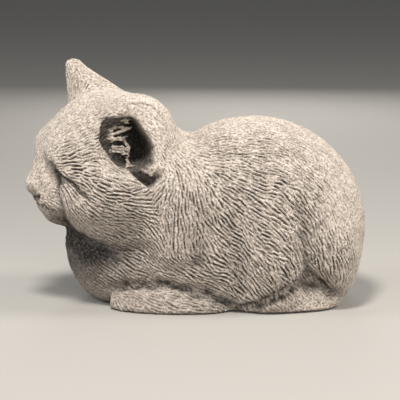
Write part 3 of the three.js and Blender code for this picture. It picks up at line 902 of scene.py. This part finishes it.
points = points_of(cat)
normals = normals_of(cat)
_, depth = lie_of_coat(points, normals)
bare = smoothstep(0, MM, inside(points, EAR_LOBE) + inside(points, EAR_HOLE))
combed = depth * (1 - bare) * smoothstep(0, FLAT_EDGE, points[:, 2])
keep(cat, "coat", "FLOAT_VECTOR", "vector", np.column_stack([waves(points, patches), combed]))
print("mean depth of the coat:", round(float(combed.mean()), 2))

# %% Painted shade and dirt in the ear and on undersides
UNDERSIDE_SHADE_AND_DIRT = 0.35
FACES_DOWN = (0.1, 0.9)  # how far a face looks down where that painted shade and dirt start and where they are full
EAR_SHADE_AND_DIRT = 0.95
HOLE_EDGE = 2 * MM
POCKET_LIP = 23.8  # levels of the lobe's pocket between which its painted shadow darkens
POCKET_DARK = 21.6

# Painted shade along the lines drawn on the body, the head and the ear.
shade_and_dirt = drawn(points, BODY_SHADE, on_body) + drawn(points, HEAD_SHADE, on_head)
shade_and_dirt += drawn(points, EAR_SHADE, on_head, sides=(1,))
# Faces that look down are darker: painted shade, with some dirt.
shade_and_dirt += UNDERSIDE_SHADE_AND_DIRT * smoothstep(*FACES_DOWN, -normals[:, 2])
# The ear's opening and hole are painted near black, as painted shade and dirt. The lobe's pocket gets a
# painted shadow, darkest at the tip of its V.
opened = smoothstep(0, MM, inside(points, EAR_OPENING))
opened *= 1 - smoothstep(0, RIM, inside(points, EAR_BACK))
pocket = smoothstep(POCKET_LIP, POCKET_DARK, lobe_level(points))
pocket *= smoothstep(0, RIM, inside(points, EAR_LOBE))
hole = smoothstep(0, HOLE_EDGE, inside(points, EAR_HOLE))
shade_and_dirt = np.max([shade_and_dirt, EAR_SHADE_AND_DIRT * opened, EAR_SHADE_AND_DIRT * pocket, hole], axis=0)
print("darkest stain:", round(float(shade_and_dirt.max()), 2))

# %% Tufts kept out of the painted shade
# The tufts stand out of the hole, into the light and the rain, so the painted shade and dirt stop within
# their thickness.
TUFT_REACH = 4  # thicknesses from a roll's middle, as are the next two
TUFT_SKIN = 1.3  # clear of painted shade and dirt up to here
TUFT_EDGE = 1.9  # and not cleared from here on
TUFT_CLEAR = 0.95

for line, thick in tuft_lines:
    near = within(points, line, TUFT_REACH * thick)
    gaps = [np.linalg.norm(points[near] - place, axis=1) for place in smooth_line(line, TUFT_STEPS)]
    cleared = smoothstep(TUFT_EDGE * thick, TUFT_SKIN * thick, np.min(gaps, axis=0))
    shade_and_dirt[near] *= 1 - TUFT_CLEAR * cleared
shade_and_dirt = np.clip(shade_and_dirt, 0, 1)
keep(cat, "shade_and_dirt", "FLOAT", "value", shade_and_dirt)
print("darkened share of the skin:", round(float(shade_and_dirt.mean()), 2))

# %% [markdown]
# ## Cast stone
# Cast stone is sand and cement. It takes every stroke of the clay from its mould, and its surface is matt,
# with the sand as a grain. One shader does it all: the grain and soft clouds in the base colour, a painted
# highlight on the tops of the ridges, painted shade in the grooves, and painted shade and dirt over that.


# %% Colours and nodes
def linear(hex_colour):
    """An sRGB colour as the linear values that a shader needs."""
    shares = [int(hex_colour[i : i + 2], 16) / 255 for i in (1, 3, 5)]
    return [c / 12.92 if c <= 0.04045 else ((c + 0.055) / 1.055) ** 2.4 for c in shares] + [1]


def add(tree, kind, settings=None, links=None):
    """Adds a node. A setting is a property or an input's value, a link another node's output."""
    node = tree.nodes.new(kind)
    for name, value in (settings or {}).items():
        if isinstance(name, int) or name in node.inputs:
            node.inputs[name].default_value = value
        else:
            setattr(node, name, value)
    for name, output in (links or {}).items():
        tree.links.new(output, node.inputs[name])
    return node


print("pale stone in linear light:", [round(c, 2) for c in linear("#D2C6B9")])

# %% Grain and clouds
# A pixel of the picture spans 0.9 mm. The sand in the mix is finer, so it is drawn 2 mm coarse to show,
# and the flecks where cement covers it 2.6 mm. Paler and darker clouds of the mix are 14 mm.
GRAIN = 2 * MM
FLECK = 2.6 * MM
CLOUD = 14 * MM

# Cast stone: sand and cement, cast in a mould, with no coating, and left to weather. That makes it matt
# and dry: it never glints, and it shows its sand.
stone = bpy.data.materials.new("cast stone")
stone.use_nodes = True
tree = stone.node_tree
shader = tree.nodes["Principled BSDF"]
shader.inputs["Roughness"].default_value = 0.92
place = add(tree, "ShaderNodeTexCoord").outputs["Object"]
grain = add(tree, "ShaderNodeTexNoise", {"Scale": 1 / GRAIN, "Detail": 2, "Roughness": 0.6},
            {"Vector": place}).outputs["Fac"]
fleck = add(tree, "ShaderNodeTexNoise", {"Scale": 1 / FLECK, "Detail": 2, "Roughness": 0.7},
            {"Vector": place}).outputs["Fac"]
clouds = add(tree, "ShaderNodeTexNoise", {"Scale": 1 / CLOUD, "Detail": 3, "Roughness": 0.6},
             {"Vector": place}).outputs["Fac"]
darker = add(tree, "ShaderNodeMapRange", {"From Min": 0.35, "From Max": 0.65}, {"Value": clouds}).outputs[0]
colour = add(tree, "ShaderNodeMix", {"data_type": "RGBA", "A": linear("#D2C6B9"), "B": linear("#BBAEA1")},
             {"Factor": darker}).outputs["Result"]
specks = add(tree, "ShaderNodeMapRange", {"From Min": 0.36, "From Max": 0.58, "To Min": 0.8, "To Max": 0},
             {"Value": grain}).outputs[0]
colour = add(tree, "ShaderNodeMix", {"data_type": "RGBA", "B": linear("#786C61")},
             {"A": colour, "Factor": specks}).outputs["Result"]
print("nodes in the stone:", len(tree.nodes))

# %% [markdown]
# ## Light and shade of the coat
# The tops of the strokes are painted paler, as a painted highlight, and the grooves between them darker, as
# painted shade. The mesh has these strokes, but its points lie too far apart to give them a crisp edge. A
# picture of the grooves would have to be painted and wrapped round. The waves that were kept on the mesh run
# smoothly from point to point, so the shader works out from them how high on its stroke each spot lies,
# however fine.

# %% How high on a stroke
coat = add(tree, "ShaderNodeAttribute", {"attribute_name": "coat"}).outputs["Vector"]
parts = add(tree, "ShaderNodeSeparateXYZ", links={0: coat}).outputs
flat = add(tree, "ShaderNodeVectorMath", {"operation": "MULTIPLY", 1: (1, 1, 0)}, {0: coat}).outputs[0]
strength = add(tree, "ShaderNodeVectorMath", {"operation": "LENGTH"}, {0: flat}).outputs["Value"]
cosine = add(tree, "ShaderNodeMath", {"operation": "DIVIDE"}, {0: parts["X"], 1: strength}).outputs[0]
half = add(tree, "ShaderNodeMath", {"operation": "MULTIPLY_ADD", 1: 0.5, 2: 0.5}, {0: cosine}).outputs[0]
hair = add(tree, "ShaderNodeMath", {"operation": "SQRT"}, {0: half}).outputs[0]

# The strokes are clear where the wave is strong, and flecks break them up.
clear = add(tree, "ShaderNodeMapRange", {"From Min": 0.02, "From Max": 0.3, "To Min": 0.15, "To Max": 1.2},
            {"Value": strength}).outputs[0]
broken = add(tree, "ShaderNodeMapRange", {"From Min": 0.35, "From Max": 0.62, "To Min": 0.5, "To Max": 1.3},
             {"Value": fleck}).outputs[0]
combed = add(tree, "ShaderNodeMath", {"operation": "MULTIPLY"}, {0: parts["Z"], 1: clear}).outputs[0]
combed = add(tree, "ShaderNodeMath", {"operation": "MULTIPLY"}, {0: combed, 1: broken}).outputs[0]
print("nodes in the stone:", len(tree.nodes))

# %% Painted highlight on the tops, painted shade in the grooves
# Painted highlight on the tops of the strokes.
top = add(tree, "ShaderNodeMath", {"operation": "POWER", 1: 6}, {0: hair}).outputs[0]
ridge_highlight = add(tree, "ShaderNodeMath", {"operation": "MULTIPLY"}, {0: top, 1: combed}).outputs[0]
ridge_highlight = add(tree, "ShaderNodeMath", {"operation": "MULTIPLY", 1: 0.6}, {0: ridge_highlight}).outputs[0]
colour = add(tree, "ShaderNodeMix", {"data_type": "RGBA", "B": linear("#E4DACE")},
             {"A": colour, "Factor": ridge_highlight}).outputs["Result"]

# Painted shade in the grooves between the strokes.
valley = add(tree, "ShaderNodeMath", {"operation": "SUBTRACT", 0: 1}, {1: hair}).outputs[0]
valley = add(tree, "ShaderNodeMath", {"operation": "POWER", 1: 1.15}, {0: valley}).outputs[0]
groove_shade = add(tree, "ShaderNodeMath", {"operation": "MULTIPLY"}, {0: valley, 1: combed}).outputs[0]
groove_shade = add(tree, "ShaderNodeMath", {"operation": "MULTIPLY", 1: 1.9}, {0: groove_shade}).outputs[0]
groove_shade = add(tree, "ShaderNodeMath", {"operation": "MINIMUM", 1: 0.95}, {0: groove_shade}).outputs[0]
colour = add(tree, "ShaderNodeMix", {"data_type": "RGBA", "B": linear("#3A3129")},
             {"A": colour, "Factor": groove_shade}).outputs["Result"]
print("nodes in the stone:", len(tree.nodes))

# %% [markdown]
# ## Painted shade, dirt and grain on top
# The painted shade and dirt cover what is under them, so they are mixed in last. They are a little thinner on
# the flecks, or they would look sprayed on. The grain and the last sharpness of the strokes go through a Bump
# node: it turns the light without moving the skin, which suits sand that is finer than the mesh.

# %% Painted shade, dirt and relief
BUMP_HEIGHT = 1.4 * MM

shade_and_dirt_mix = add(tree, "ShaderNodeAttribute", {"attribute_name": "shade_and_dirt"}).outputs["Fac"]
patchy = add(tree, "ShaderNodeMapRange", {"From Min": 0.3, "From Max": 0.6, "To Min": 0.8, "To Max": 1},
             {"Value": fleck}).outputs[0]
shade_and_dirt_mix = add(tree, "ShaderNodeMath", {"operation": "MULTIPLY"}, {0: shade_and_dirt_mix, 1: patchy}).outputs[0]
# Painted shade and dirt: a near black brown.
colour = add(tree, "ShaderNodeMix", {"data_type": "RGBA", "B": linear("#1E1A17")},
             {"A": colour, "Factor": shade_and_dirt_mix}).outputs["Result"]
tree.links.new(colour, shader.inputs["Base Color"])

strands = add(tree, "ShaderNodeMath", {"operation": "MULTIPLY"}, {0: hair, 1: combed}).outputs[0]
height = add(tree, "ShaderNodeMath", {"operation": "MULTIPLY_ADD", 1: 0.8}, {0: grain, 2: strands}).outputs[0]
bump = add(tree, "ShaderNodeBump", {"Strength": 1, "Distance": BUMP_HEIGHT}, {"Height": height}).outputs[0]
tree.links.new(bump, shader.inputs["Normal"])
cat.data.materials.append(stone)
print("nodes in the stone:", len(tree.nodes))

# %% [markdown]
# ## Studio floor
# In the studio the statue stands on a sheet of matt paper. Its pale, slightly warm colour throws a little
# light up under the jaw and the flank, and draws no attention. One colour is enough for that.

# %% Floor paper
# Matt paper: pressed fibres with no gloss, which the eye takes for a plain ground.
paper = bpy.data.materials.new("matt paper")
paper.use_nodes = True
sheet = paper.node_tree.nodes["Principled BSDF"]
sheet.inputs["Base Color"].default_value = linear("#A5A19B")
sheet.inputs["Roughness"].default_value = 0.9
floor.data.materials.append(paper)
print("materials:", [material.name for material in (stone, paper)])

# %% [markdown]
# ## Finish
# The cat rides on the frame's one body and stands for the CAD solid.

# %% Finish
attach(cat, "root")
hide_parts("cat")
